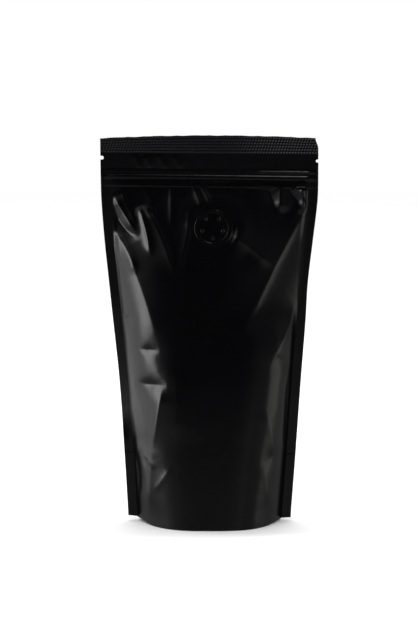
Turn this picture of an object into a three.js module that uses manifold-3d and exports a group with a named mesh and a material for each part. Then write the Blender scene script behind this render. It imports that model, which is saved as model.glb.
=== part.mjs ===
// A filled stand-up coffee pouch of matt black laminate, standing on its bottom gusset.
// Front and rear webs are welded to each other along both side edges and under a crimped band at the top.
// Below that band lie a tear notch in each edge and a press-to-close strip, which shows as ribs in the film.
// A one-way valve is welded in behind the front web, high up and near the middle.
// Millimetres: x runs across the bag, y from the front to the back, and z up from the floor.
// "level" is the height on the bag itself, which hangs a little lower on its right side than on its left.
import * as THREE from "three";
import { mergeVertices } from "three/addons/utils/BufferGeometryUtils.js";
import Module from "manifold-3d";

const HEIGHT = 234;
const FLAT_WIDTH = 130;
const SIDE_SEAL = 5.5;
const TOP_SEAL = 10.8;
const FILM = 0.6;
const FLAT_INNER = FLAT_WIDTH - 2 * SIDE_SEAL;
const RIGHT_SIDE_DROP = 0.0125;
const TOP_EDGE_BOW = 1.7;
const CORNER_CHAMFER = 1.6;

// Half widths of the standing bag, from its upright middle line to the cut edge of each side seal.
const OUTLINE = [
  { level: 0, left: 49.4, right: 49.6 },
  { level: 37, left: 51.3, right: 52.1 },
  { level: 86, left: 54.5, right: 55.3 },
  { level: 123, left: 58.1, right: 58.0 },
  { level: 147, left: 60.5, right: 59.3 },
  { level: 171, left: 62.9, right: 62.0 },
  { level: 195, left: 64.6, right: 64.7 },
  { level: 207, left: 64.9, right: 65.1 },
  { level: HEIGHT, left: 65.1, right: 64.9 },
];

// Bulge cross sections run as 1 - |t|^power from seal to seal, with a power for each side.
const SECTIONS = [
  { level: 0, left: 2.8, right: 3.4 },
  { level: 40, left: 3.1, right: 3.4 },
  { level: 90, left: 3.4, right: 3.9 },
  { level: 125, left: 3.6, right: 4.4 },
  { level: 150, left: 3.4, right: 2.3 },
  { level: 178, left: 2.6, right: 2.1 },
  { level: 205, left: 2.0, right: 2.0 },
];

const ZIP = { bottom: 203.6, top: 212.6, ramp: 0.7, flange: 0.4, rib: 208.8, ribHalf: 1.7, ribHeight: 1.1, crushed: 4 };
const NOTCHES = [
  { side: -1, level: 220.0, radius: 1.15, depth: 2.0 },
  { side: 1, level: 219.4, radius: 1.0, depth: 1.6 },
];
const VALVE = { x: 2.1, level: 179.5, radius: 11, tilt: 15, flat: 12.5, fade: 26, proud: 0.4 };
const GUSSET = { height: 41.6, skirt: 0.8, weld: 4, patch: 22, flat: 0.6, cornerRise: 26 };
const CORNER_LIFT = { left: 2.9, right: 1.6, from: 30 };
const SEAL_CURL = { top: 126, full: 80, end: 66, back: 2.7 };

// Creases of the front web, each from its upper end to its lower one, at [x, level].
// A positive bow bends one towards the right; left and right are how far its flanks reach.
const FRONT_FOLDS = [
  { from: [-58.5, 178], to: [-43, 150], bow: 2, height: 1.3, left: 5, right: 2.2 },
  { from: [-53, 170], to: [-29, 104], bow: 2.4, height: 1.3, left: 9, right: 6 },
  { from: [-31, 84], to: [-33, 8], bow: -4, height: 1.6, left: 7, right: 4.5 },
  { from: [-59.5, 199], to: [-43, 173], bow: -1, height: 1.6, left: 2, right: 2.5 },
  { from: [-57, 181], to: [-37, 161], bow: -2, height: -1, left: 3, right: 3 },
  { from: [-43.5, 192], to: [-35, 161], bow: 1.2, height: 1.5, left: 2, right: 2 },
  { from: [-41, 194], to: [-20, 153], bow: 3, height: 1.2, left: 2.6, right: 3 },
  { from: [-19.5, 88], to: [-20, 54], bow: 1, height: 0.9, left: 6, right: 4 },
  { from: [-22.5, 37.5], to: [-34.5, 20.5], bow: 0, height: 0.8, left: 2, right: 2.5 },
  { from: [61.5, 198], to: [23, 123], bow: -1.5, height: 2.2, left: 8, right: 3.2 },
  { from: [53, 141], to: [35, 96], bow: 2, height: 1, left: 4, right: 4 },
  { from: [34, 72], to: [38, 38], bow: 1.5, height: 0.8, left: 3, right: 4 },
  { from: [33, 207], to: [46, 182], bow: -2, height: 1.3, left: 2, right: 4 },
  { from: [43, 207], to: [54, 192], bow: -1.5, height: 1.2, left: 2, right: 2.5 },
  { from: [9, 177], to: [34, 156], bow: 1.5, height: 1.5, left: 4, right: 3 },
];
// Kinks where a side buckled: the middle of each at [x, level], half its length, and how far it reaches up and down.
const KINKS = [
  { at: [-37, 106], half: 8.5, depth: 2.2, degrees: 0, above: 4, below: 5 },
  { at: [-35.5, 85.3], half: 12, depth: 3.4, degrees: 3, above: 5.5, below: 6.5 },
  { at: [40, 66], half: 7, depth: 1, degrees: 35, above: 4, below: 3 },
  { at: [38, 44], half: 8, depth: 1, degrees: 50, above: 4, below: 3 },
];
const REAR_FOLDS = [
  { from: [-60, 194], to: [-22, 130], bow: 3, height: 2.0, left: 10, right: 3.5 },
  { from: [58, 192], to: [40, 158], bow: 2, height: 1.7, left: 3, right: 5 },
  { from: [30, 100], to: [48, 92], bow: -1.5, height: -1.5, left: 5, right: 3 },
  { from: [-42, 80], to: [-36, 26], bow: 2, height: 1.4, left: 5, right: 4 },
];

// Columns across one web, between the inner edges of the two side seals, and rows up it.
const COLUMNS = 44;
const BODY_ROWS = 36;
const UNDER_SHARES = [0.12, 0.26, 0.42, 0.6, 0.8];
const FOLD_ROUNDING = 0.6;
const SEAL_FADE = 3;

const wasm = await Module();
wasm.setup();

const { clamp, smoothstep, lerp, degToRad } = THREE.MathUtils;

// Smooth curve through rows of named values, by Catmull-Rom between neighbours.
function tableValue(rows, key, level) {
  const points = rows.map((row) => new THREE.Vector2(row.level, row[key]));
  const last = points.length - 1;
  const held = clamp(level, points[0].x, points[last].x);
  let k = 0;
  while (k < last - 1 && held > points[k + 1].x) k += 1;
  const slope = (i) => {
    const low = points[Math.max(i - 1, 0)];
    const high = points[Math.min(i + 1, last)];
    return (high.y - low.y) / (high.x - low.x);
  };
  const span = points[k + 1].x - points[k].x;
  const t = (held - points[k].x) / span;
  const rise = t * t * (3 - 2 * t);
  const out = t * (1 - t) * (1 - t) * span * slope(k);
  const back = t * t * (t - 1) * span * slope(k + 1);
  return lerp(points[k].y, points[k + 1].y, rise) + out + back;
}

const halfWidth = (side, level) => tableValue(OUTLINE, side < 0 ? "left" : "right", level);

const chord = (level) => halfWidth(-1, level) + halfWidth(1, level) - 2 * SIDE_SEAL;

// The film can't stretch, so drawing its sides in pushes it out: the height of the arch whose length is FLAT_INNER.
function bulge(level) {
  const slack = Math.max(0, FLAT_INNER / chord(level) - 1);
  return (chord(level) / 2) * (0.97 + slack / 2) * Math.sqrt(slack);
}

const sectionShape = (t, level) => 1 - Math.abs(t) ** tableValue(SECTIONS, t < 0 ? "left" : "right", level);

// A crease is a rounded ridge along a bowed line, with its own reach on each side and both ends run out.
function foldRelief(fold, x, level) {
  const run = new THREE.Vector2(fold.to[0] - fold.from[0], fold.to[1] - fold.from[1]);
  const offset = new THREE.Vector2(x - fold.from[0], level - fold.from[1]);
  const along = offset.dot(run) / run.lengthSq();
  if (along <= 0 || along >= 1) return 0;
  const straight = (offset.y * run.x - offset.x * run.y) / run.length();
  const across = straight - fold.bow * 4 * along * (1 - along);
  const reach = across < 0 ? fold.left : fold.right;
  const rounded = Math.hypot(across, FOLD_ROUNDING) - FOLD_ROUNDING;
  const ends = smoothstep(along, 0, 0.25) * smoothstep(1 - along, 0, 0.3);
  return fold.height * ends * Math.exp(-rounded / reach);
}

// A kink is a dent along a short line, deepest at its middle.
function kinkRelief(kink, x, level) {
  const angle = degToRad(kink.degrees);
  const dx = x - kink.at[0];
  const dz = level - kink.at[1];
  const along = dx * Math.cos(angle) + dz * Math.sin(angle);
  const across = dz * Math.cos(angle) - dx * Math.sin(angle);
  const tent = Math.max(0, 1 - Math.hypot(along, 0.15 * kink.half) / kink.half);
  const rounded = Math.hypot(across, FOLD_ROUNDING) - FOLD_ROUNDING;
  return -kink.depth * tent * Math.exp(-rounded / (across < 0 ? kink.below : kink.above));
}

// Ribs that the closing strip between the webs raises in both of them, crushed flat in the side seals.
function zipRelief(x, level) {
  const side = halfWidth(x, level) - Math.abs(x);
  const kept = smoothstep(side, ZIP.crushed - 2, ZIP.crushed);
  const band = smoothstep(level, ZIP.bottom - ZIP.ramp, ZIP.bottom) * smoothstep(-level, -ZIP.top - ZIP.ramp, -ZIP.top);
  const rib = Math.max(0, 1 - ((level - ZIP.rib) / ZIP.ribHalf) ** 2);
  return kept * (ZIP.flange * band + ZIP.ribHeight * rib);
}

function filledDepth(x, level) {
  const inner = halfWidth(x, level) - SIDE_SEAL;
  return bulge(level) * sectionShape(clamp(x / inner, -1, 1), level);
}

// All creases and kinks together, fading out at the side seals, which stay flat.
function creased(folds, kinks, x, level) {
  const clear = smoothstep(halfWidth(x, level) - SIDE_SEAL - Math.abs(x), 0, SEAL_FADE);
  const ridges = folds.reduce((sum, fold) => sum + foldRelief(fold, x, level), 0);
  return clear * kinks.reduce((sum, kink) => sum + kinkRelief(kink, x, level), ridges);
}

// The front web lies flat on the valve's flange, and eases back to its own curve round it.
const valveDepth = filledDepth(VALVE.x, VALVE.level);
const valveSlope = Math.tan(degToRad(VALVE.tilt));

function frontDepth(x, level) {
  const away = Math.hypot(x - VALVE.x, level - VALVE.level);
  const onValve = 1 - smoothstep(away, VALVE.flat, VALVE.fade);
  const plane = valveDepth - valveSlope * (level - VALVE.level);
  const base = lerp(filledDepth(x, level), plane, onValve);
  const folds = creased(FRONT_FOLDS, KINKS, x, level) * smoothstep(away, VALVE.flat, VALVE.flat + 3);
  return Math.max(0, base + folds) + zipRelief(x, level);
}

const rearDepth = (x, level) =>
  Math.max(0, filledDepth(x, level) + creased(REAR_FOLDS, [], x, level)) + zipRelief(x, level);

// The left seal stands bent back where the film pulls on it, evenly from its inner edge to its cut edge.
function sealCurl(x, level) {
  const over = clamp(1 - (halfWidth(x, level) - Math.abs(x)) / SIDE_SEAL, 0, 1);
  const along = smoothstep(-level, -SEAL_CURL.top, -SEAL_CURL.full) * smoothstep(level, SEAL_CURL.end, SEAL_CURL.full);
  return x < 0 ? SEAL_CURL.back * over * along : 0;
}

// Height above the floor of a point of the bag, whose lower corners stand clear of it.
function heightAt(x, level) {
  const lift = (x < 0 ? CORNER_LIFT.left : CORNER_LIFT.right) * smoothstep(Math.abs(x), CORNER_LIFT.from, halfWidth(x, 0));
  const foot = lift * (1 - smoothstep(level, 0, GUSSET.height));
  const skew = RIGHT_SIDE_DROP * x * smoothstep(level, 0, GUSSET.height) * (1 - smoothstep(level, 216, HEIGHT));
  const top = smoothstep(level, HEIGHT - TOP_SEAL, HEIGHT) * TOP_EDGE_BOW * (x / halfWidth(x, HEIGHT)) ** 2;
  return level + foot - skew - top;
}

function columnShares() {
  const inner = [];
  for (let i = 0; i <= COLUMNS; i += 1) {
    const even = (2 * i) / COLUMNS - 1;
    inner.push(lerp(even, -Math.cos((Math.PI * i) / COLUMNS), 0.55));
  }
  return inner;
}

function rowLevels() {
  const rows = [];
  for (let j = 0; j < BODY_ROWS; j += 1) rows.push(lerp(0, ZIP.bottom - ZIP.ramp, j / BODY_ROWS));
  const ribs = [-1, -0.5, 0, 0.5, 1].map((share) => ZIP.rib + share * ZIP.ribHalf);
  rows.push(ZIP.bottom - ZIP.ramp, ZIP.bottom, ...ribs, ZIP.top, ZIP.top + ZIP.ramp);
  rows.push(218, HEIGHT - TOP_SEAL, HEIGHT - TOP_SEAL / 2, HEIGHT);
  return rows;
}

// Half width with the right top corner cut off at a slant.
function cutHalf(side, level) {
  const cut = side > 0 ? CORNER_CHAMFER * smoothstep(level, HEIGHT - 7, HEIGHT) : 0;
  return halfWidth(side, level) - cut;
}

// Both webs as grids of vertices that share nothing, joined at the edges by strips one film thick.
function pouchGeometry() {
  const shares = columnShares();
  const levels = rowLevels();
  const width = shares.length + 2;
  const vertices = [];
  const faces = [];
  const add = (x, y, z) => vertices.push(x, y, z) / 3 - 1;
  const quad = (a, b, c, d) => faces.push(a, b, c, a, c, d);

  const columnX = (i, level) => {
    if (i === 0) return -cutHalf(-1, level);
    if (i === width - 1) return cutHalf(1, level);
    const share = shares[i - 1];
    return share * (halfWidth(share, level) - SIDE_SEAL);
  };
  const web = (sign, depth) =>
    levels.map((level) =>
      Array.from({ length: width }, (_, i) => {
        const x = columnX(i, level);
        return add(x, sign * (FILM / 2 + depth(x, level)) + sealCurl(x, level), heightAt(x, level));
      }),
    );
  const front = web(-1, frontDepth);
  const rear = web(1, rearDepth);
  const top = levels.length - 1;
  for (let j = 0; j < top; j += 1) {
    for (let i = 0; i < width - 1; i += 1) {
      quad(front[j][i], front[j][i + 1], front[j + 1][i + 1], front[j + 1][i]);
      quad(rear[j][i + 1], rear[j][i], rear[j + 1][i], rear[j + 1][i + 1]);
    }
    quad(rear[j][0], front[j][0], front[j + 1][0], rear[j + 1][0]);
    quad(front[j][width - 1], rear[j][width - 1], rear[j + 1][width - 1], front[j + 1][width - 1]);
  }
  for (let i = 0; i < width - 1; i += 1) quad(front[top][i], front[top][i + 1], rear[top][i + 1], rear[top][i]);

  // Underside: the skirt that the bag stands on, the gusset web inside it and the fold along its middle.
  const columns = [];
  for (let i = 2; i < width - 2; i += 1) {
    const x = columnX(i, 0);
    const floor = heightAt(x, 0);
    const outside = Math.abs(x) / (halfWidth(x, 0) - SIDE_SEAL);
    const crease = GUSSET.cornerRise * smoothstep(Math.abs(x), GUSSET.patch, halfWidth(x, 0) - SIDE_SEAL) * outside;
    const half = (sign, depth) => {
      const edge = FILM / 2 + depth(x, 0);
      const inside = edge - Math.min(GUSSET.skirt, edge * 0.3);
      const weld = floor + GUSSET.weld * Math.min(1, inside / 8);
      const points = [add(x, sign * inside, floor), add(x, sign * inside * 0.97, weld)];
      for (const share of UNDER_SHARES) {
        const z = lerp(weld, crease, smoothstep(share, 0, GUSSET.flat));
        points.push(add(x, sign * inside * (1 - share), z));
      }
      return points;
    };
    columns.push([front[0][i], ...half(-1, frontDepth), add(x, 0, crease), ...half(1, rearDepth).reverse(), rear[0][i]]);
  }
  for (let k = 0; k < columns.length - 1; k += 1) {
    const near = columns[k];
    const far = columns[k + 1];
    for (let m = 0; m < near.length - 1; m += 1) quad(near[m], near[m + 1], far[m + 1], far[m]);
  }
  // Each end closes in a fan on the seal, where the two webs lie one film apart.
  const fan = (f, r, column, flip) => {
    const tri = (a, b, c) => (flip ? faces.push(a, c, b) : faces.push(a, b, c));
    const middle = (column.length - 1) / 2;
    for (let m = 0; m < column.length - 1; m += 1) tri(m < middle ? f : r, column[m + 1], column[m]);
    tri(f, r, column[middle]);
  };
  fan(front[0][1], rear[0][1], columns[0], false);
  fan(front[0][width - 2], rear[0][width - 2], columns[columns.length - 1], true);
  quad(front[0][0], rear[0][0], rear[0][1], front[0][1]);
  quad(front[0][width - 2], rear[0][width - 2], rear[0][width - 1], front[0][width - 1]);

  const geometry = new THREE.BufferGeometry();
  geometry.setAttribute("position", new THREE.Float32BufferAttribute(vertices, 3));
  geometry.setIndex(faces);
  return geometry;
}

function solidOf(geometry) {
  const bare = geometry.clone();
  bare.deleteAttribute("normal");
  bare.deleteAttribute("uv");
  const merged = mergeVertices(bare, 1e-3);
  return new wasm.Manifold(
    new wasm.Mesh({
      numProp: 3,
      vertProperties: new Float32Array(merged.attributes.position.array),
      triVerts: new Uint32Array(merged.index.array),
    }),
  );
}

function geometryOf(solid) {
  const mesh = solid.getMesh();
  const geometry = new THREE.BufferGeometry();
  geometry.setAttribute("position", new THREE.BufferAttribute(mesh.vertProperties, 3));
  geometry.setIndex(new THREE.BufferAttribute(mesh.triVerts, 1));
  geometry.computeVertexNormals();
  return geometry;
}

// A tear notch is a round bite out of the cut edge.
function cutNotches(body) {
  let cut = body;
  for (const notch of NOTCHES) {
    const x = notch.side * (halfWidth(notch.side, notch.level) - notch.depth + notch.radius);
    const z = heightAt(x, notch.level);
    const bite = new THREE.CylinderGeometry(notch.radius, notch.radius, 8, 12).translate(x, 0, z);
    cut = cut.subtract(solidOf(bite));
  }
  return cut;
}

// Places a shape turned about the z axis so that its z axis points out of the front web at the valve.
function ontoValveSeat(geometry, out) {
  const seat = new THREE.Matrix4().makeRotationX(Math.PI / 2 - degToRad(VALVE.tilt));
  const y = -(FILM / 2 + valveDepth);
  const z = heightAt(VALVE.x, VALVE.level);
  return geometry.clone().translate(0, 0, out).applyMatrix4(seat).translate(VALVE.x, y, z);
}

// Valve: a flange with a raised rim round a shallow dish, and five small vents in the dish.
const DISH_RADIUS = 8.3;
const DISH_DEPTH = 0.3;
const VENTS = { count: 5, circle: 6.5, radius: 0.5, depth: 0.6 };

function valveGeometry() {
  const profile = [
    [0, -1.2],
    [VALVE.radius, -1.2],
    [VALVE.radius, 0],
    [VALVE.radius - 0.5, VALVE.proud],
    [DISH_RADIUS, VALVE.proud],
    [DISH_RADIUS - 0.6, VALVE.proud - DISH_DEPTH],
    [0, VALVE.proud - DISH_DEPTH],
  ].map(([r, h]) => new THREE.Vector2(r, h));
  const turned = new THREE.LatheGeometry(profile, 40).rotateX(Math.PI / 2);
  let body = solidOf(turned);
  for (let k = 0; k < VENTS.count; k += 1) {
    const angle = (2 * Math.PI * k) / VENTS.count - Math.PI / 2;
    const hole = new THREE.CylinderGeometry(VENTS.radius, VENTS.radius, 2 * VENTS.depth, 8).rotateX(Math.PI / 2);
    hole.translate(VENTS.circle * Math.cos(angle), VENTS.circle * Math.sin(angle), VALVE.proud - DISH_DEPTH);
    body = body.subtract(solidOf(hole));
  }
  return geometryOf(body);
}

const film = new THREE.MeshStandardMaterial({ name: "black_film", color: 0x0c0c0e, roughness: 0.38, metalness: 0 });
const moulded = new THREE.MeshStandardMaterial({ name: "valve_plastic", color: 0x101012, roughness: 0.42, metalness: 0 });

const seatBore = new THREE.CylinderGeometry(VALVE.radius + 0.3, VALVE.radius + 0.3, 6, 40).rotateX(Math.PI / 2);
const pocket = ontoValveSeat(seatBore, 3 - 1.5);
const pouchSolid = cutNotches(solidOf(pouchGeometry())).subtract(solidOf(pocket));

const pouch = new THREE.Mesh(geometryOf(pouchSolid), film);
pouch.name = "pouch";
const valve = new THREE.Mesh(ontoValveSeat(valveGeometry(), 0), moulded);
valve.name = "valve";

const bag = new THREE.Group();
bag.add(pouch, valve);
export default bag;
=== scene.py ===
import math

import bpy
import numpy as np
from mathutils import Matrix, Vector


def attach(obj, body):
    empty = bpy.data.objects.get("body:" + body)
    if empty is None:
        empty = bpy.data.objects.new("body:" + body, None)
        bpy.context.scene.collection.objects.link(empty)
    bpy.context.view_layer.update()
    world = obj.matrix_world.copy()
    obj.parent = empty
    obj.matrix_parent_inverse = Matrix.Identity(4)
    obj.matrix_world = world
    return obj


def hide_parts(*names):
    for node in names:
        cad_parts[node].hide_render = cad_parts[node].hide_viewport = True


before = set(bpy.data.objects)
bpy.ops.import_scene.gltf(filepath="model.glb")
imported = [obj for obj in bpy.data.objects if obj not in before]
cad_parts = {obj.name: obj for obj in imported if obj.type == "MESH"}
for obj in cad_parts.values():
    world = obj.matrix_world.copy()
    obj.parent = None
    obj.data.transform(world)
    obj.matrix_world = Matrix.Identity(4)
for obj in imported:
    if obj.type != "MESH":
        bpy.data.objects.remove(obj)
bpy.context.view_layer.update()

# The pouch is cut from one roll of laminate: matt black PET outside, aluminium foil, then PE that melts in
# the seals. The matt lacquer has a very fine even grain and scatters a lamp into a soft-edged band.
# Handling leaves it shinier in some places than in others. The crests that the jaws emboss are drawn paler as
# a painted highlight; real wear would leave them only faintly paler.
MM = 0.001
FILM_BLACK = "#020106"
FILM_RUBBED = "#040407"
# Painted highlight: the crimp's crests are drawn in this pale grey, most at the right of the seal, where the
# light falls on them.
CREST_HIGHLIGHT_GREY = "#444446"  # paler than worn film really is, so that the rows of crests show in the render
FILM_ROUGHNESS = 0.22
GLOSS_SPREAD = 0.03
FILM_IOR = 1.5
GRAIN_MM = 0.5  # the real grain is finer than 0.1 mm, and this is as fine as the render can show
GRAIN_STRENGTH = 0.6
GRAIN_HEIGHT = 0.012
WAVE_MM = 9.0
WAVE_HEIGHT = 0.10
SHEEN_PATCH_MM = 28.0


def linear(hex_colour):
    """Linear RGBA of an sRGB hex colour: each channel through the sRGB curve, alpha 1."""
    channels = [int(hex_colour[i:i + 2], 16) / 255 for i in (1, 3, 5)]
    curved = [c / 12.92 if c <= 0.04045 else ((c + 0.055) / 1.055) ** 2.4 for c in channels]
    return (*curved, 1.0)


def node(tree, kind, links=(), **settings):
    """Adds a node, sets its settings or inputs by name, and links (output, input name) pairs into it."""
    made = tree.nodes.new(kind)
    for name, value in settings.items():
        if hasattr(made, name):
            setattr(made, name, value)
        else:
            made.inputs[name.replace("_", " ")].default_value = value
    for output, name in links:
        tree.links.new(output, made.inputs[name])
    return made


def new_material(name):
    """An empty node material and its tree."""
    material = bpy.data.materials.new(name)
    material.use_nodes = True
    material.node_tree.nodes.clear()
    return material, material.node_tree


def matt_laminate():
    """Near-black film with a painted highlight on the embossed crests, faint gloss patches, fine grain and
    shallow waves.
    """
    material, tree = new_material("matt_black_laminate_rolled")
    place = node(tree, "ShaderNodeTexCoord").outputs["Object"]
    patches = node(tree, "ShaderNodeTexNoise", [(place, "Vector")],
                   Scale=1 / (SHEEN_PATCH_MM * MM), Detail=3.0)
    colour = node(tree, "ShaderNodeMix", [(patches.outputs["Fac"], "Factor")], data_type="RGBA")
    colour.inputs["A"].default_value = linear(FILM_BLACK)
    colour.inputs["B"].default_value = linear(FILM_RUBBED)
    # Painted highlight: the top seal's crests are mixed towards the pale grey by their share of highlight.
    crest_highlight = node(tree, "ShaderNodeAttribute", attribute_name="crest_highlight")
    painted_crests = node(tree, "ShaderNodeMix", [(crest_highlight.outputs["Fac"], "Factor"), (colour.outputs["Result"], "A")],
                data_type="RGBA")
    painted_crests.inputs["B"].default_value = linear(CREST_HIGHLIGHT_GREY)
    gloss = node(tree, "ShaderNodeMapRange", [(patches.outputs["Fac"], "Value")])
    gloss.inputs["To Min"].default_value = FILM_ROUGHNESS + GLOSS_SPREAD
    gloss.inputs["To Max"].default_value = FILM_ROUGHNESS - GLOSS_SPREAD
    waves = node(tree, "ShaderNodeTexNoise", [(place, "Vector")], Scale=1 / (WAVE_MM * MM), Detail=2.0)
    shallow = node(tree, "ShaderNodeBump", [(waves.outputs["Fac"], "Height")],
                   Strength=1.0, Distance=WAVE_HEIGHT * MM)
    grain = node(tree, "ShaderNodeTexNoise", [(place, "Vector")], Scale=1 / (GRAIN_MM * MM), Detail=1.0)
    fine = node(tree, "ShaderNodeBump",
                [(grain.outputs["Fac"], "Height"), (shallow.outputs["Normal"], "Normal")],
                Strength=GRAIN_STRENGTH, Distance=GRAIN_HEIGHT * MM)
    film = node(tree, "ShaderNodeBsdfPrincipled",
                [(painted_crests.outputs["Result"], "Base Color"), (gloss.outputs["Result"], "Roughness"),
                 (fine.outputs["Normal"], "Normal")], IOR=FILM_IOR)
    node(tree, "ShaderNodeOutputMaterial", [(film.outputs["BSDF"], "Surface")])
    return material


laminate = matt_laminate()

# Front and rear web are welded to each other along both sides, 5.5 mm wide, which sets the bag's width.
# Filled, it draws its sides in and bulges; film can't stretch, so the two go together.
# "level" is a height on the bag itself, which hangs a little lower on its right side than on its left.
HEIGHT = 234.0
FLAT_WIDTH = 130.0
SIDE_SEAL = 5.5
TOP_SEAL = 10.8
FILM = 0.45
RIGHT_SIDE_DROP = 0.0125
TOP_EDGE_BOW = 1.7
CORNER_CHAMFER = 1.6
CORNER_CHAMFER_RUN = 7.0
GUSSET_HEIGHT = 41.6
GUSSET_LAYER = 0.22
LEFT_CORNER_LIFT = 2.9
RIGHT_CORNER_LIFT = 1.6
LIFT_FROM = 30.0
SLANT_END = 216.0
ARCH_FACTOR = 0.97
LAYER_EDGE = 0.3

# Level, then left and right half width, from the upright middle line to the cut edge.
OUTLINE = np.array([
    (0, 49.4, 49.6), (37, 51.3, 52.1), (86, 54.5, 55.3), (123, 58.1, 58.0), (147, 60.5, 59.3),
    (171, 62.9, 62.0), (195, 64.6, 64.7), (207, 64.9, 65.1), (HEIGHT, 65.1, 64.9),
])
# Level, then the power of the arch 1 - |t| ** power that the film makes from seal to seal, left and right.
SECTIONS = np.array([
    (0, 3.1, 3.4), (40, 3.5, 3.8), (78, 3.6, 4.5), (106, 3.6, 4.8), (113, 3.6, 4.6), (120, 3.6, 3.7),
    (128, 3.6, 2.35), (150, 3.4, 2.0), (178, 2.6, 1.95), (205, 2.0, 2.0),
])


def smooth(low, high, value):
    """0 below low, 1 above high, and a smooth S between them."""
    t = np.clip((value - low) / (high - low), 0, 1)
    return t * t * (3 - 2 * t)


def table_value(table, column, level):
    """A Catmull-Rom curve through a table's rows: each row's slope is that of its two neighbours."""
    x, y = table[:, 0], table[:, column]
    slope = np.empty_like(y)
    slope[1:-1] = (y[2:] - y[:-2]) / (x[2:] - x[:-2])
    slope[0] = (y[1] - y[0]) / (x[1] - x[0])
    slope[-1] = (y[-1] - y[-2]) / (x[-1] - x[-2])
    held = np.clip(level, x[0], x[-1])
    k = np.clip(np.searchsorted(x, held, side="left") - 1, 0, len(x) - 2)
    span = x[k + 1] - x[k]
    t = (held - x[k]) / span
    rise = t * t * (3 - 2 * t)
    out = t * (1 - t) ** 2 * span * slope[k]
    back = t * t * (t - 1) * span * slope[k + 1]
    return y[k] * (1 - rise) + y[k + 1] * rise + out + back


def half_width(x, level):
    """From the middle line to the cut edge, on the side that x is on."""
    return np.where(x < 0, table_value(OUTLINE, 1, level), table_value(OUTLINE, 2, level))


def bulge(level):
    """Height of the arch whose curved length is the flat width between the seals, over the drawn-in width.

    For arches of this form it is half the chord times (0.97 + slack / 2) times the root of the slack, where
    0.97 is ARCH_FACTOR.
    """
    chord = table_value(OUTLINE, 1, level) + table_value(OUTLINE, 2, level) - 2 * SIDE_SEAL
    slack = np.maximum(0, (FLAT_WIDTH - 2 * SIDE_SEAL) / chord - 1)
    return chord / 2 * (ARCH_FACTOR + slack / 2) * np.sqrt(slack)


def arch(t, level):
    """The film's cross section from seal to seal, 1 in the middle and 0 at t = -1 and 1."""
    power = np.where(t < 0, table_value(SECTIONS, 1, level), table_value(SECTIONS, 2, level))
    return 1 - np.abs(t) ** power


def height_at(x, level):
    """Height over the floor: the level, lifted at the lower corners, slanting right, bowed at the top."""
    side_lift = np.where(x < 0, LEFT_CORNER_LIFT, RIGHT_CORNER_LIFT)
    lift = side_lift * smooth(LIFT_FROM, half_width(x, 0.0), np.abs(x))
    foot = lift * (1 - smooth(0, GUSSET_HEIGHT, level))
    slant = RIGHT_SIDE_DROP * x * smooth(0, GUSSET_HEIGHT, level) * (1 - smooth(SLANT_END, HEIGHT, level))
    bow = TOP_EDGE_BOW * (x / half_width(x, HEIGHT)) ** 2 * smooth(HEIGHT - TOP_SEAL, HEIGHT, level)
    return level + foot - slant - bow


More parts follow.
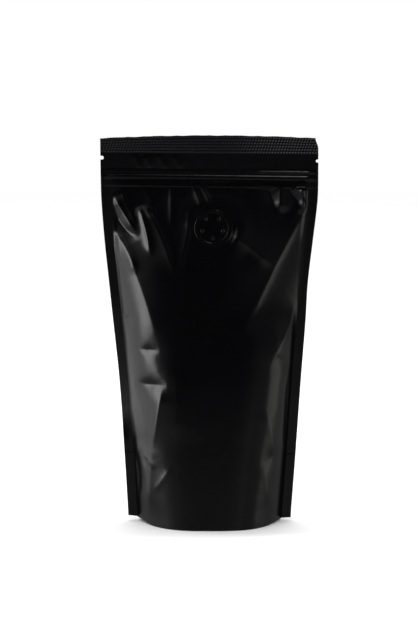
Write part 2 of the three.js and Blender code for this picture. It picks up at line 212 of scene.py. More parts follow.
# Creases are where the film's spare length went when the bag was filled and pinched shut.
# Each runs from its upper end to its lower one as x, level, x, level. A positive bow bends it to the right.
# Then come its height, negative for a valley, and how far its left and right flanks reach, all in mm.
CREASE_ROUNDING = 0.5
CREASE_RUN_IN = 0.25  # shares of a crease's length over which it rises at one end and fades at the other
CREASE_RUN_OUT = 0.3
KINK_ROUNDING = 0.15  # share of a kink's half length that is rounded at its middle
SEAL_FADE = 3.0
FRONT_CREASES = [
    # The long edge where the left shoulder turns under, sharp at its top and softer further down.
    (-58.5, 178, -43, 150, 2.0, 1.3, 5, 2.2),
    (-53, 170, -29, 104, 2.4, 1.3, 9, 6),
    (-33, 58, -36.5, 4, -0.5, 1.5, 5, 4.5),
    # Leaves at the upper left, fanning out of the end of the closing strip.
    (-58.5, 199, -42.5, 173, 0.0, 1.7, 3.0, 2.2),
    (-61, 201, -41.5, 170, -3.8, -1.7, 5.0, 2.6),
    (-53.5, 200, -43.5, 179, 0.5, 0.8, 2.2, 1.6),
    (-42.5, 192, -35, 161, 1.2, 1.5, 1.9, 2.0),
    (-40, 193, -21, 151, 2.5, 1.9, 6.5, 3),
    # Lower left: the knee under the two kinks, and small creases that come from the gusset's weld.
    (-20, 98, -21, 50, 1.0, 0.6, 6, 8),
    (-27.5, 85.5, -34, 46, -0.8, 1.6, 5, 4.2),
    (-48.5, 90, -36.5, 52, 1.0, 0.3, 1.2, 2.0),
    (-46.5, 45, -44.5, 10, 3.0, -1.3, 4, 2.5),
    (-40, 44, -32, 35, 0.0, 0.3, 1.0, 1.5),
    (-41, 43, -36.5, 6, 1.0, 0.6, 1.5, 2.0),
    (-22.5, 37.5, -34.5, 20.5, 0.0, 0.35, 1.3, 1.6),
    # The long edge down from the right end of the closing strip, and the right shoulder under it.
    (61.5, 198, 17, 111, -1.2, 1.95, 8, 3.9),
    (53, 137, 35, 96, 2.0, 1.0, 4, 4),
    (47.5, 92, 45.5, 46, 0.0, -0.6, 1.0, 1.2),
    (34, 72, 38, 38, 1.5, 0.8, 3, 4),
    (33, 40, 38, 10, -1.0, 0.6, 3, 3),
    # Puckers hanging from the closing strip.
    (-42, 206, -33, 191, 0.5, 0.55, 1.5, 2.0),
    (-22.8, 206, -22.8, 177, 0.0, 0.45, 1.0, 1.2),
    (-11, 206, -4, 189, 0.5, 0.5, 1.1, 1.1),
    (-6.5, 206, 1.5, 190, 1.0, 0.5, 1.1, 1.1),
    (-12, 190, -13, 177, 0.0, 0.3, 1.4, 1.4),
    (-10.5, 186, -19, 149, 0.0, 1.0, 3.2, 2.5),
    (17, 206, 19, 197, 0.0, 0.5, 1.2, 1.2),
    (30, 214, 41, 187, 0.0, -2.2, 5.0, 5.0),
    (43.5, 214, 42, 187, 0.0, 2.8, 5.0, 8.0),
    (42, 209, 56.5, 190, 0.0, -2.4, 8.0, 5.0),
    (54, 214, 57.5, 187, 0.0, 3.0, 5.5, 5.0),
    (56.0, 212, 55.5, 198, 0.0, 0.7, 2.0, 2.5),
    # Pulled by the valve.
    (10, 192, 16, 180.5, -2.0, 0.75, 1.2, 1.2),
    (11, 178, 40, 155, 1.0, 2.0, 5.2, 9),
    (14, 185, 24, 180, 0.0, 0.5, 2.5, 3.0),
    # Puckers of the header, above the closing strip.
    (-46, 223, -41, 212, 0.5, 0.25, 1.4, 2.0),
    (-39, 222, -35, 213, 0.5, 0.25, 1.4, 2.0),
    (-31, 223, -26, 212, 0.5, 0.3, 1.6, 2.0),
    (-22, 222, -17, 213, 0.5, 0.25, 1.4, 2.0),
]
# Kinks where the side buckled: x, level, half length, depth, slope in degrees, reach above and below it.
KINKS = [
    (-36.0, 106.2, 6.5, 1.2, 0, 2.8, 1.5),
    (-35.0, 85.3, 10.0, 2.0, 3, 4.5, 2.8),
    (-49.0, 123.0, 5.0, 0.7, -30, 3.0, 3.0),
    (40.0, 66.0, 7.0, 0.6, 35, 4.0, 3.0),
    (38.0, 44.0, 8.0, 0.6, 50, 3.0, 3.0),
    (44.0, 100.0, 7.0, 0.9, -45, 3.0, 4.0),
]
REAR_CREASES = [
    (-60, 194, -22, 130, 3, 2.0, 10, 3.5),
    (58, 192, 40, 158, 2, 1.7, 3, 5),
    (30, 100, 48, 92, -1.5, -1.5, 5, 3),
    (-42, 80, -36, 26, 2, 1.4, 5, 4),
]


def crease_relief(creases, x, level):
    """Sum of ridges: height times exp(-distance / reach), rounded at the crest, and run out at both ends."""
    total = np.zeros_like(x)
    for x0, level0, x1, level1, bow, height, left, right in creases:
        run = np.hypot(x1 - x0, level1 - level0)
        ux, ul = (x1 - x0) / run, (level1 - level0) / run
        along = ((x - x0) * ux + (level - level0) * ul) / run
        inside = np.clip(along, 0, 1)
        across = (level - level0) * ux - (x - x0) * ul - bow * 4 * inside * (1 - inside)
        reach = np.where(across < 0, left, right)
        rounded = np.hypot(across, CREASE_ROUNDING) - CREASE_ROUNDING
        ends = smooth(0, CREASE_RUN_IN, along) * smooth(0, CREASE_RUN_OUT, 1 - along)
        total += height * ends * np.exp(-rounded / reach)
    return total


def kink_relief(x, level):
    """Sum of dents: depth times a tent along the kink's line, times exp(-distance / reach) beside it."""
    total = np.zeros_like(x)
    for x0, level0, half, depth, degrees, above, below in KINKS:
        ux, ul = math.cos(math.radians(degrees)), math.sin(math.radians(degrees))
        along = (x - x0) * ux + (level - level0) * ul
        across = (level - level0) * ux - (x - x0) * ul
        rounded = np.hypot(across, CREASE_ROUNDING) - CREASE_ROUNDING
        tent = np.maximum(0, 1 - np.hypot(along, KINK_ROUNDING * half) / half)
        total -= depth * tent * np.exp(-rounded / np.where(across < 0, below, above))
    return total


# The press-to-close strip is two PE profiles welded to the insides of the webs, one with a rib and one with
# a groove. It shows outside as a flat band with a rib along it, and the side seals have crushed its ends.
ZIP_BOTTOM = 203.6
ZIP_TOP = 212.6
ZIP_RAMP = 0.7
ZIP_FLANGE = 0.4
ZIP_RIB = 208.8
ZIP_RIB_HALF = 1.7
ZIP_RIB_HEIGHT = 0.95
ZIP_END = 0.5
ZIP_CRUSHED = 9.0
ZIP_LIFT = 0.5
ZIP_LIFT_HALF = 0.9
ZIP_LIFT_FROM = 24.0
ZIP_LIFT_FULL = 44.0
EASE_BELOW = 1.6
EASE_INSIDE = 0.6
EASE_ABOVE = 1.4


def zip_relief(x, level):
    """A flat band with ramped edges, a parabolic rib and, at the right, a raised upper edge.

    All three fade out towards the cut side edges.
    """
    side = half_width(x, level) - np.abs(x)
    kept = smooth(ZIP_END, ZIP_CRUSHED, side)
    band = smooth(ZIP_BOTTOM - ZIP_RAMP, ZIP_BOTTOM, level) * smooth(-ZIP_TOP - ZIP_RAMP, -ZIP_TOP, -level)
    rib = np.maximum(0, 1 - ((level - ZIP_RIB) / ZIP_RIB_HALF) ** 2)
    edge = np.maximum(0, 1 - ((level - ZIP_TOP) / ZIP_LIFT_HALF) ** 2)
    lift = ZIP_LIFT * smooth(ZIP_LIFT_FROM, ZIP_LIFT_FULL, x) * edge
    return kept * (ZIP_FLANGE * band + ZIP_RIB_HEIGHT * rib + lift)


def filled_depth(x, level):
    """How far a web stands out from the bag's middle plane when smooth: bulge times arch."""
    inner = half_width(x, level) - SIDE_SEAL
    return bulge(level) * arch(np.clip(x / inner, -1, 1), level)


def gusset_layer(x, level):
    """Extra film in a side seal where the gusset is welded in too, ending in a step at the gusset's edge."""
    in_seal = smooth(-SIDE_SEAL - LAYER_EDGE, -SIDE_SEAL + LAYER_EDGE, np.abs(x) - half_width(x, level))
    return GUSSET_LAYER * in_seal * smooth(-GUSSET_HEIGHT - LAYER_EDGE, -GUSSET_HEIGHT + LAYER_EDGE, -level)


def free_film(x, level):
    """1 where the film is single and can crease, and 0 at the side seals and on the stiff closing strip."""
    clear = smooth(0, SEAL_FADE, half_width(x, level) - SIDE_SEAL - np.abs(x))
    over_bottom = smooth(ZIP_BOTTOM - EASE_BELOW, ZIP_BOTTOM + EASE_INSIDE, level)
    under_top = smooth(-ZIP_TOP - EASE_ABOVE, -ZIP_TOP, -level)
    return clear * (1 - over_bottom * under_top)


# Seals are stiffer than the single film beside them. The left one stands bent back where the film pulls on
# it, most of all 69 mm above the floor, and runs out straight above and below that.
CURL_TOP = 140.0
CURL_FULL = 69.0
CURL_END = 46.0
CURL_BACK = 2.7


def seal_curl(x, level):
    """How far back the left seal is bent: nothing at its inner edge, growing evenly to the cut edge."""
    over = np.clip(1 - (half_width(x, level) - np.abs(x)) / SIDE_SEAL, 0, 1)
    along = smooth(-CURL_TOP, -CURL_FULL, -level) * smooth(CURL_END, CURL_FULL, level)
    return np.where(x < 0, CURL_BACK * over * along, 0.0)


# The one-way valve is welded behind a hole in the front web, which lies flat on its flange for that reason.
# The film eases back to its own curve within 15 mm of it. The skin made here has no such hole: it covers the
# valve's cup, its vents and part of its dish, and only the rim and the vents' collars come through it.
VALVE_X = 2.1
VALVE_LEVEL = 179.5
VALVE_RADIUS = 11.0
VALVE_TILT = math.radians(15)
VALVE_FLAT = 11.0
VALVE_FADE = 26.0
VALVE_PROUD = 0.15
VALVE_CLEAR = 4.0
PINCH_RADIUS = 12.2
PINCH_HALF = 1.0
PINCH_HEIGHT = 0.21
valve_depth = float(filled_depth(np.array(VALVE_X), np.array(VALVE_LEVEL)))


def front_depth(x, level):
    """The front web: its curve eased into the valve's plane, plus folds, pinch, strip and gusset layer."""
    away = np.hypot(x - VALVE_X, level - VALVE_LEVEL)
    on_valve = 1 - smooth(VALVE_FLAT, VALVE_FADE, away)
    plane = valve_depth - math.tan(VALVE_TILT) * (level - VALVE_LEVEL)
    base = filled_depth(x, level) * (1 - on_valve) + plane * on_valve
    folds = crease_relief(FRONT_CREASES, x, level) + kink_relief(x, level)
    folds = folds * free_film(x, level) * smooth(VALVE_RADIUS, VALVE_RADIUS + VALVE_CLEAR, away)
    pinch = PINCH_HEIGHT * np.maximum(0, 1 - ((away - PINCH_RADIUS) / PINCH_HALF) ** 2)
    return np.maximum(0, base + folds) + pinch + zip_relief(x, level) + gusset_layer(x, level)


def rear_depth(x, level):
    """The rear web: its own curve, plus creases, strip and gusset layer."""
    folds = crease_relief(REAR_CREASES, x, level) * free_film(x, level)
    return np.maximum(0, filled_depth(x, level) + folds) + zip_relief(x, level) + gusset_layer(x, level)


# Both webs and the gusset make one closed skin: two grids joined along the cut side edges and at the top.
# Underneath, the gusset web is folded up between them and welded to them in a skirt that the bag stands on.
# The front grid has three columns to each one of the plainer rear.
REAR_STEPS = 72
FRONT_STEPS = 3 * REAR_STEPS
SEAL_COLUMNS = 3
COLUMN_CROWDING = 0.15
LOWER_ROWS = 130
CREASED_FROM = 150.0
UPPER_ROWS = 96
STRIP_ROWS = 40
ABOVE_STRIP_ROWS = 6
NOTCH_ROWS = 28
HEADER_ROWS = 4
WELD_EDGE = 0.4
WELD_EDGE_ROWS = 7
NOTCH_FROM = 217.6
NOTCH_TO = 221.6
NOTCHES = {"left": (220.0, 1.15, 2.0), "right": (219.4, 0.9, 1.5)}  # level, radius, depth
GUSSET_SKIRT = 0.5
GUSSET_WELD = 4.0
GUSSET_WELD_RUN = 8.0
SKIRT_SHARE = 0.3
WELD_LEAN = 0.97
GUSSET_PATCH = 22.0
GUSSET_FLAT = 0.6
GUSSET_RISE = 26.0
GUSSET_RINGS = 10


def cut_half(side, level):
    """Half width to the cut edge, less the slanted right top corner and the round bite of each tear notch."""
    cut = CORNER_CHAMFER * smooth(HEIGHT - CORNER_CHAMFER_RUN, HEIGHT, level) if side > 0 else 0.0
    middle, radius, depth = NOTCHES["right" if side > 0 else "left"]
    round_end = np.sqrt(np.maximum(0, 1 - ((level - middle) / radius) ** 2))
    bite = np.where(np.abs(level - middle) < radius, depth - radius + radius * round_end, 0.0)
    return half_width(np.full_like(level, side), level) - cut - bite


def column_places(levels):
    """x of each column at each level: a few across each side seal, the rest closer near both seals."""
    u = np.linspace(-1, 1, FRONT_STEPS + 1)
    shares = (1 - COLUMN_CROWDING) * u - COLUMN_CROWDING * np.cos(np.pi * (u + 1) / 2)
    inner = shares * (half_width(shares, levels[:, None]) - SIDE_SEAL)
    left_edge, right_edge = cut_half(-1.0, levels), cut_half(1.0, levels)
    over = np.linspace(0, 1, SEAL_COLUMNS + 1)[:-1]
    left = -left_edge[:, None] * (1 - over) + inner[:, :1] * over
    right = right_edge[:, None] * (1 - over) + inner[:, -1:] * over
    return np.hstack([left, inner, right[:, ::-1]])


def grid_faces(first, second):
    """Quads between two rows of vertex numbers, as an array of four numbers each."""
    return np.stack([first[..., :-1], first[..., 1:], second[..., 1:], second[..., :-1]], -1).reshape(-1, 4)


def stitch(many, few):
    """Triangles between a row of vertex numbers and one with a third as many steps, facing as grid_faces."""
    start, end = few[:-1], few[1:]
    corners = [many[k::3][:len(start)] for k in (0, 1, 2)] + [many[3::3]]
    fans = [np.stack([start, corners[k], corners[k + 1]], -1) for k in (0, 1, 2)]
    return np.vstack([*fans, np.stack([start, corners[3], end], -1)])


def make_piece(name, points, quads, triangles, material, sharp_degrees=35):
    """A mesh object at the origin from arrays of points in mm and of faces, smooth except at sharp edges."""
    mesh = bpy.data.meshes.new(name)
    corners = np.concatenate([quads.ravel(), triangles.ravel()]).astype(np.int32)
    sizes = np.concatenate([np.full(len(quads), 4), np.full(len(triangles), 3)])
    mesh.vertices.add(len(points))
    mesh.vertices.foreach_set("co", (points * MM).astype(np.float32).ravel())
    mesh.loops.add(len(corners))
    mesh.loops.foreach_set("vertex_index", corners)
    mesh.polygons.add(len(sizes))
    mesh.polygons.foreach_set("loop_start", (np.cumsum(sizes) - sizes).astype(np.int32))
    mesh.update(calc_edges=True)
    mesh.validate()
    mesh.shade_smooth()
    mesh.set_sharp_from_angle(angle=math.radians(sharp_degrees))
    mesh.materials.append(material)
    piece = bpy.data.objects.new(name, mesh)
    bpy.context.scene.collection.objects.link(piece)
    return piece


def pouch_skin():
    """Front and rear grids over (column, level), side strips, a top strip and the gusset's grid below."""
    lower = np.linspace(0, CREASED_FROM, LOWER_ROWS, endpoint=False)
    upper = np.linspace(CREASED_FROM, ZIP_BOTTOM - ZIP_RAMP, UPPER_ROWS, endpoint=False)
    strip = np.linspace(ZIP_BOTTOM - ZIP_RAMP, ZIP_TOP + ZIP_RAMP, STRIP_ROWS, endpoint=False)
    above = np.linspace(ZIP_TOP + ZIP_RAMP, NOTCH_FROM, ABOVE_STRIP_ROWS, endpoint=False)
    notches = np.linspace(NOTCH_FROM, NOTCH_TO, NOTCH_ROWS, endpoint=False)
    header = np.linspace(NOTCH_TO, HEIGHT - TOP_SEAL, HEADER_ROWS)
    at_weld = np.linspace(GUSSET_HEIGHT - WELD_EDGE, GUSSET_HEIGHT + WELD_EDGE, WELD_EDGE_ROWS)
    levels = np.unique(np.concatenate([lower, at_weld, upper, strip, above, notches, header]))
    first = SEAL_COLUMNS
    far_seal = first + FRONT_STEPS + 1
    kept = np.r_[0:first, first:far_seal:3, far_seal:far_seal + first]

    def web(x, depth, side):
        """One web's points: half a film and its depth out from the middle plane, plus the seal's bend."""
        level = np.broadcast_to(levels[:, None], x.shape)
        out = side * (FILM / 2 + depth(x, level)) + seal_curl(x, level)
        return np.stack([x, out, height_at(x, level)], -1)

    x = column_places(levels)
    front = web(x, front_depth, -1)
    rear = web(x[:, kept], rear_depth, 1)

    # Gusset: from each skirt's foot up its inside to the weld, then over the film to the middle crease.
    share = np.linspace(0, 1, GUSSET_RINGS + 1)[1:, None]

    def gusset_half(foot):
        """Wall, weld and film from one web's foot, eased up to a crease that rises evenly to the seals."""
        foot_x, edge, floor = foot.T
        side, edge = np.sign(edge), np.abs(edge)
        inner = half_width(foot_x, 0.0) - SIDE_SEAL
        crease = GUSSET_RISE * smooth(GUSSET_PATCH, inner, np.abs(foot_x)) * np.abs(foot_x) / inner
        inside = edge - np.minimum(GUSSET_SKIRT, edge * SKIRT_SHARE)
        weld = floor + GUSSET_WELD * np.minimum(1, inside / GUSSET_WELD_RUN)
        wall = np.stack([foot_x, side * inside, floor], -1)[None]
        top = np.stack([foot_x, side * inside * WELD_LEAN, weld], -1)[None]
        over = smooth(0, GUSSET_FLAT, share)
        film = np.stack([np.broadcast_to(foot_x, (GUSSET_RINGS, len(foot_x))), side * inside * (1 - share),
                         weld * (1 - over) + crease * over], -1)
        return np.concatenate([wall, top, film])

    front_half = gusset_half(front[0, first + 1:-first - 1])
    rear_half = gusset_half(rear[0, first + 1:-first - 1])[:-1][::-1]

    grids = [front, rear, front_half, rear_half]
    starts = np.cumsum([0] + [grid[..., 0].size for grid in grids])
    ids = [start + np.arange(grid[..., 0].size).reshape(grid.shape[:2]) for start, grid in zip(starts, grids)]
    front_ids, rear_ids, front_gusset, rear_gusset = ids
    front_gusset = np.vstack([front_ids[0, first + 1:-first - 1], front_gusset])
    rear_gusset = np.vstack([rear_gusset, rear_ids[0, first + 1:-first - 1]])
    fold = front_gusset[-1]
    edges = np.stack([rear_ids[:, 0], front_ids[:, 0]], -1)
    far_edges = np.stack([front_ids[:, -1], rear_ids[:, -1]], -1)
    quads = [
        grid_faces(front_ids[:-1], front_ids[1:]), grid_faces(rear_ids[:-1, ::-1], rear_ids[1:, ::-1]),
        grid_faces(edges[:-1], edges[1:]), grid_faces(far_edges[:-1], far_edges[1:]),
        grid_faces(front_gusset[1:], front_gusset[:-1]), grid_faces(rear_gusset[1:], rear_gusset[:-1]),
        grid_faces(front_ids[-1, :first + 1], rear_ids[-1, :first + 1]),
        grid_faces(front_ids[-1, -first - 1:], rear_ids[-1, -first - 1:]),
        grid_faces(rear_ids[0, :first + 1], front_ids[0, :first + 1]),
        grid_faces(rear_ids[0, -first - 1:], front_ids[0, -first - 1:]),
    ]
    triangles = [
        stitch(front_ids[-1, first:-first], rear_ids[-1, first:-first]),
        stitch(fold[2:-2], rear_gusset[0])[:, ::-1],
    ]
    # The two ends of the gusset close in fans on the seal, where the webs lie one film apart.
    for end, turned in ((slice(None), False), (slice(None, None, -1), True)):
        front_hub, rear_hub = front_ids[0, end][first], rear_ids[0, end][first]
        front_column, rear_column = front_gusset[:, end][:, 0], rear_gusset[:, end][:, 0]
        crease = fold[end][:3]
        rim = np.concatenate([crease, rear_column[:1]])
        fans = np.vstack([
            np.stack([np.full(len(front_column) - 1, front_hub), front_column[1:], front_column[:-1]], -1),
            np.stack([np.full(len(rear_column) - 1, rear_hub), rear_column[1:], rear_column[:-1]], -1),
            np.stack([np.full(3, rear_hub), rim[1:], rim[:-1]], -1),
            [[front_hub, rear_hub, crease[0]]],
        ])
        triangles.append(fans[:, ::-1] if turned else fans)
    points = np.concatenate([grid.reshape(-1, 3) for grid in grids])
    return points, np.vstack(quads), np.vstack(triangles)


pouch = make_piece("pouch_film", *pouch_skin(), laminate)
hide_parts("pouch")
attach(pouch, "root")

# The top seal is made last, by jaws with a diamond pattern that press both webs together while the PE melts.
# It leaves rows of small slanted pyramids, six high, and the blade leaves the cut edge a little uneven.
CRIMP_PITCH_X = 1.72
CRIMP_PITCH_Z = 1.80
CRIMP_SLANT = 0.28
CRIMP_HEIGHT = 0.22
CRIMP_POWER = 0.8
CRIMP_CELL = 8
SEAL_ROWS = 54
SEAL_HALF = 0.24
SEAL_LAP = 0.15
SIDE_BORDER = 0.8
CUT_BORDER = 0.5
LOWER_BORDER = 0.6
NICK_DEPTH = 0.25
NICK_WAVE_SHORT = 3.1
NICK_WAVE_LONG = 7.7
NICK_REACH = 2.0
# Painted highlight on the crests: how strongly it lightens them in the middle, and how much more at the right
# and left, where the light falls.
CREST_HIGHLIGHT = 0.3  # how strongly the crests are shaded in the middle, and how much more at the right and left
CREST_HIGHLIGHT_RIGHT = 0.7
CREST_HIGHLIGHT_LEFT = 0.2
CREST_POWER = 4


def crimp_relief(x, down):
    """Rounded pyramids on a slanted grid: |sine| across times |sine| down from the cut edge, to a power."""
    across = (x + CRIMP_SLANT * down) / CRIMP_PITCH_X
    rows = down / CRIMP_PITCH_Z
    wave = np.abs(np.sin(np.pi * across)) * np.abs(np.sin(np.pi * rows))
    return CRIMP_HEIGHT * wave ** CRIMP_POWER


def top_seal():
    """A closed band: front and rear grids over (x, level) with the crimp relief, joined along all edges, and
    each point's share of painted highlight.
    """
    levels = np.linspace(HEIGHT - TOP_SEAL - SEAL_LAP, HEIGHT, SEAL_ROWS)
    count = int(round(FLAT_WIDTH / CRIMP_PITCH_X)) * CRIMP_CELL
    share = np.linspace(-1, 1, count + 1)
    edge = np.where(share < 0, cut_half(-1.0, levels)[:, None], cut_half(1.0, levels)[:, None])
    x = share * edge
    level = np.broadcast_to(levels[:, None], x.shape)
    down = HEIGHT - level
    border = smooth(0, SIDE_BORDER, edge - np.abs(x)) * smooth(0, CUT_BORDER, down)
    border = border * smooth(0, LOWER_BORDER, TOP_SEAL - down)
    nicks = NICK_DEPTH * np.sin(x / NICK_WAVE_SHORT) * np.sin(x / NICK_WAVE_LONG + 1.0)
    nicks = nicks * smooth(HEIGHT - NICK_REACH, HEIGHT, level)
    z = height_at(x, level) - np.abs(nicks)
    out = SEAL_HALF + border * crimp_relief(x, down)
    front = np.stack([x, -out, z], -1)
    rear = np.stack([x, out, z], -1)
    points = np.concatenate([front.reshape(-1, 3), rear.reshape(-1, 3)])
    ids = np.arange(x.size).reshape(x.shape)
    back = ids + ids.size
    left = np.stack([back[:, 0], ids[:, 0]], -1)
    right = np.stack([ids[:, -1], back[:, -1]], -1)
    quads = np.vstack([
        grid_faces(ids[:-1], ids[1:]), grid_faces(back[:-1, ::-1], back[1:, ::-1]),
        grid_faces(left[:-1], left[1:]), grid_faces(right[:-1], right[1:]),
        grid_faces(ids[-1], back[-1]), grid_faces(back[0], ids[0]),
    ])
    # Each point's share of painted highlight: strongest on the crests' tops, and raised towards both ends of
    # the seal.
    highlight_strength = CREST_HIGHLIGHT + CREST_HIGHLIGHT_RIGHT * smooth(0.1, 0.7, share) + CREST_HIGHLIGHT_LEFT * smooth(0.2, 0.9, -share)
    crest_highlight = np.clip(highlight_strength * border * (crimp_relief(x, down) / CRIMP_HEIGHT) ** CREST_POWER, 0, 1)
    return points, quads, np.empty((0, 3), int), np.tile(crest_highlight.ravel(), 2)


# The crests' painted highlight goes to the material as a point attribute.
*seal_shape, seal_highlight = top_seal()
seal = make_piece("top_seal", *seal_shape, laminate, sharp_degrees=70)
seal.data.attributes.new("crest_highlight", "FLOAT", "POINT").data.foreach_set("value", seal_highlight.astype(np.float32))
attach(seal, "root")

# The valve is a moulded PE disc: a flange, a rim that the film is welded to, and a dish with five vents.
# Under the dish a soft plate lets the beans' gas out and keeps air from coming in.
DISH_RADIUS = 9.4
DISH_STEP = 0.5
DISH_DEPTH = 0.16
CUP_RADIUS = 5.3
CUP_DEPTH = 0.14
EDGE_ROUND = 0.6
VENT_COUNT = 5
VENT_CIRCLE = 6.5
VENT_RADIUS = 0.5
VENT_DEPTH = 0.6
VENT_EDGE = 0.25
COLLAR_RADIUS = 0.85
COLLAR_HALF = 0.35
COLLAR_HEIGHT = 0.16
VALVE_BACK = 1.2
FLANGE_DROP = 0.1
FACE_FROM = 0.3
FACE_TO_EDGE = 0.15
PE_BLACK = "#040405"
PE_ROUGHNESS = 0.24
PE_IOR = 1.51
PEEL_MM = 0.9
PEEL_HEIGHT = 0.03
VALVE_TURN = 240
VALVE_RINGS = 110


def moulded_pe():
    """Black PE: satin, a touch greyer than the film, with the faint orange peel of a moulded face."""
    material, tree = new_material("black_pe_moulded")
    place = node(tree, "ShaderNodeTexCoord").outputs["Object"]
    peel = node(tree, "ShaderNodeTexNoise", [(place, "Vector")], Scale=1 / (PEEL_MM * MM), Detail=2.0)
    bump = node(tree, "ShaderNodeBump", [(peel.outputs["Fac"], "Height")],
                Strength=0.5, Distance=PEEL_HEIGHT * MM)
    plastic = node(tree, "ShaderNodeBsdfPrincipled", [(bump.outputs["Normal"], "Normal")],
                   Roughness=PE_ROUGHNESS, IOR=PE_IOR)
    plastic.inputs["Base Color"].default_value = linear(PE_BLACK)
    node(tree, "ShaderNodeOutputMaterial", [(plastic.outputs["BSDF"], "Surface")])
    return material


def valve_face(r, angle):
    """Height of the face over its seat: rounded edge, dish, a cup in it, and vents with raised collars."""
    edge = np.clip((r - (VALVE_RADIUS - EDGE_ROUND)) / EDGE_ROUND, 0, 1)
    dish = 1 - smooth(DISH_RADIUS - DISH_STEP, DISH_RADIUS, r)
    cup = 1 - smooth(CUP_RADIUS - DISH_STEP, CUP_RADIUS, r)
    face = VALVE_PROUD * np.sqrt(1 - edge ** 2) - DISH_DEPTH * dish - CUP_DEPTH * cup
    for k in range(VENT_COUNT):
        turn = 2 * math.pi * k / VENT_COUNT - math.pi / 2
        middle_x, middle_y = VENT_CIRCLE * math.cos(turn), VENT_CIRCLE * math.sin(turn)
        away = np.hypot(r * np.cos(angle) - middle_x, r * np.sin(angle) - middle_y)
        collar = np.maximum(0, 1 - ((away - COLLAR_RADIUS) / COLLAR_HALF) ** 2)
        hole = 1 - smooth(VENT_RADIUS - VENT_EDGE, VENT_RADIUS, away)
        face = face + COLLAR_HEIGHT * collar - VENT_DEPTH * hole
    return face


def valve_body():
    """A polar grid for the face, then the flange's side and a flat back, turned on to the tilted seat."""
    rings = np.linspace(FACE_FROM, VALVE_RADIUS - FACE_TO_EDGE, VALVE_RINGS)
    r = np.concatenate([rings, [VALVE_RADIUS, VALVE_RADIUS]])
    angle = np.linspace(0, 2 * np.pi, VALVE_TURN + 1)
    rr, aa = np.meshgrid(r, angle, indexing="ij")
    out = valve_face(rr, aa)
    out[-2] = -FLANGE_DROP
    out[-1] = -VALVE_BACK
    ids = np.arange(len(r) * VALVE_TURN).reshape(len(r), VALVE_TURN)
    ring = np.hstack([ids, ids[:, :1]])
    rr, aa, out = rr[:, :-1], aa[:, :-1], out[:, :-1]
    local = np.stack([rr * np.cos(aa), rr * np.sin(aa), out], -1).reshape(-1, 3)
    local = np.vstack([local, [0, 0, valve_face(np.zeros(1), np.zeros(1))[0]], [0, 0, -VALVE_BACK]])
    top, bottom = len(local) - 2, len(local) - 1
    quads = grid_faces(ring[1:], ring[:-1])
    caps = [np.stack([np.full(VALVE_TURN, top), ring[0, :-1], ring[0, 1:]], -1),
            np.stack([np.full(VALVE_TURN, bottom), ring[-1, 1:], ring[-1, :-1]], -1)]
    c, s = math.cos(VALVE_TILT), math.sin(VALVE_TILT)
    across, up, off = local.T
    z0 = float(height_at(np.array(VALVE_X), np.array(VALVE_LEVEL)))
    y = -(FILM / 2 + valve_depth) - off * c + up * s
    points = np.stack([VALVE_X + across, y, z0 + up * c + off * s], -1)
    return points, quads, np.vstack(caps)


valve = make_piece("valve_disc", *valve_body(), moulded_pe(), sharp_degrees=50)
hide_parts("valve")
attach(valve, "root")

# The bag stands on a white table in a white studio. A tall soft lamp and a wide one on its left are the main
# light, and weaker ones stand on its right, slightly warm, low in front, at the upper left and above it.
# They show only in reflections. The one behind and above the bag shows in none, and lights the table.
world = bpy.data.worlds.new("studio")
bpy.context.scene.world = world
world.use_nodes = True
world.node_tree.nodes.clear()
tree = world.node_tree
rays = node(tree, "ShaderNodeLightPath")
direction = node(tree, "ShaderNodeTexCoord").outputs["Generated"]
axes = node(tree, "ShaderNodeSeparateXYZ", [(direction, "Vector")])


def studio_share(output, low, high, at_low, at_high):
    """Brightness going smoothly from at_low to at_high as one axis of the direction goes from low to high."""
    ramp = node(tree, "ShaderNodeMapRange", [(output, "Value")], interpolation_type="SMOOTHSTEP")
    for name, value in (("From Min", low), ("From Max", high), ("To Min", at_low), ("To Max", at_high)):
        ramp.inputs[name].default_value = value
    return ramp.outputs["Result"]


horizon = studio_share(axes.outputs["Z"], -0.12, 0.03, 0.08, 0.009)
near_table = studio_share(axes.outputs["Z"], -0.22, -0.14, 0.06, 0.0)
leftward = studio_share(axes.outputs["X"], -0.85, -0.35, 0.16, 0.0)
rightward = studio_share(axes.outputs["X"], 0.12, 0.60, 0.0, 0.06)
sides = node(tree, "ShaderNodeMath", [(leftward, 0), (rightward, 1)], operation="ADD")
below = node(tree, "ShaderNodeMath", [(horizon, 0), (near_table, 1)], operation="ADD")
dim = node(tree, "ShaderNodeMath", [(below.outputs[0], 0), (sides.outputs[0], 1)], operation="ADD")
white = node(tree, "ShaderNodeMath",
             [(rays.outputs["Is Camera Ray"], 0), (rays.outputs["Is Diffuse Ray"], 1)],
             operation="MAXIMUM")
strength = node(tree, "ShaderNodeMix", [(white.outputs[0], "Factor"), (dim.outputs[0], "A")],
                data_type="FLOAT")
strength.inputs["B"].default_value = 1.0
glow = node(tree, "ShaderNodeBackground", [(strength.outputs["Result"], "Strength")])
glow.inputs["Color"].default_value = (1.0, 1.0, 1.0, 1.0)
node(tree, "ShaderNodeOutputWorld", [(glow.outputs["Background"], "Surface")])


def soft_lamp(name, place, target, size, watts, colour="#ffffff"):
    """A rectangular area lamp at place, facing target, in metres, that shows only in reflections."""
    data = bpy.data.lights.new(name, "AREA")
    data.shape = "RECTANGLE"
    data.size, data.size_y = size
    data.energy = watts
    data.color = linear(colour)[:3]
    lamp = bpy.data.objects.new(name, data)
    lamp.location = place
    aim = Vector(target) - Vector(place)
    lamp.rotation_euler = aim.to_track_quat("-Z", "Y").to_euler()
    lamp.visible_camera = False
    lamp.visible_diffuse = False
    bpy.context.scene.collection.objects.link(lamp)
    return lamp


def around(degrees, distance, height):
    """A place at that bearing from the camera's direction, positive to the right, in metres."""
    turn = math.radians(degrees)
    return (distance * math.sin(turn), -distance * math.cos(turn), height)


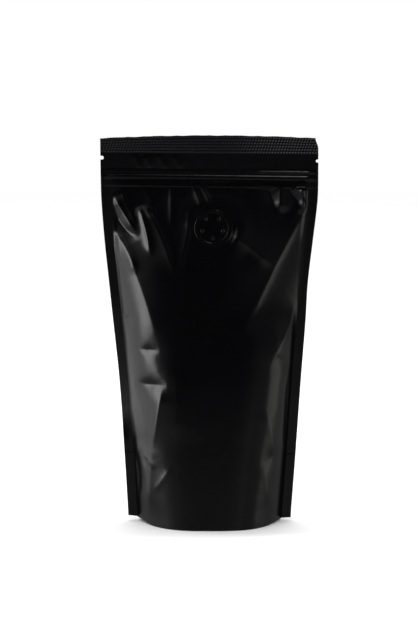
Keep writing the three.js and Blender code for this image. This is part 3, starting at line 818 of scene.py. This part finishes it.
soft_lamp("key_left", around(-68, 1.0, 0.40), (0, 0, 0.12), (0.4, 1.0), 4.4)
soft_lamp("fill_left", around(-100, 1.0, 0.27), (0, 0, 0.12), (1.5, 0.96), 5.2)
soft_lamp("right_low", around(85, 1.1, -0.05), (0, 0, 0.1), (0.6, 0.38), 0.50, "#fffff0")
soft_lamp("right_high", around(85, 1.1, 0.50), (0, 0, 0.1), (0.6, 0.5), 0.06, "#fffff0")
soft_lamp("right_back", around(122, 1.1, 0.15), (0, 0, 0.1), (0.9, 0.8), 0.2, "#fffff0")
soft_lamp("front_low", around(0, 1.0, -0.2), (0, 0, 0.1), (1.4, 0.32), 0.1)
soft_lamp("upper_left", around(-40, 1.1, 1.1), (0, 0, 0.2), (0.6, 0.5), 0.5)
soft_lamp("rim", (0.24, -0.25, 1.25), (0, 0, 0.2), (0.4, 0.3), 1.2)
over_table = soft_lamp("over_table", (-0.04, 0.205, 1.3), (0, 0, 0), (0.8, 0.085), 9.5)
over_table.visible_glossy = False
over_table.visible_diffuse = True

# The table is pure white, so that its far edge shows only as a band one or two levels under white.
# It is left out of reflections.
TABLE_WHITE = "#ffffff"
TABLE_REACH = 3.0
table_material, tree = new_material("white_table_painted")
paint = node(tree, "ShaderNodeBsdfDiffuse")
paint.inputs["Color"].default_value = linear(TABLE_WHITE)
node(tree, "ShaderNodeOutputMaterial", [(paint.outputs["BSDF"], "Surface")])
table_mesh = bpy.data.meshes.new("table")
table_corners = [
    (-TABLE_REACH, -TABLE_REACH, 0), (TABLE_REACH, -TABLE_REACH, 0),
    (TABLE_REACH, TABLE_REACH, 0), (-TABLE_REACH, TABLE_REACH, 0),
]
table_mesh.from_pydata(table_corners, [], [(0, 1, 2, 3)])
table_mesh.materials.append(table_material)
table = bpy.data.objects.new("table", table_mesh)
table.visible_glossy = False
bpy.context.scene.collection.objects.link(table)

# The camera looks down a little from 1.2 m in front, with a long lens, as the photograph does.
CAMERA_PLACE = (-0.0005, -1.2, 0.28)
CAMERA_DOWN = math.radians(7.3123)
CAMERA_LENS = 114.72
camera_data = bpy.data.cameras.new("camera")
camera_data.lens = CAMERA_LENS
camera_data.sensor_width = 36.0
camera_data.sensor_fit = "AUTO"
camera = bpy.data.objects.new("camera", camera_data)
camera.location = CAMERA_PLACE
camera.rotation_euler = (math.pi / 2 - CAMERA_DOWN, 0, 0)
bpy.context.scene.collection.objects.link(camera)
bpy.context.scene.camera = camera
bpy.context.scene.view_settings.view_transform = "Standard"
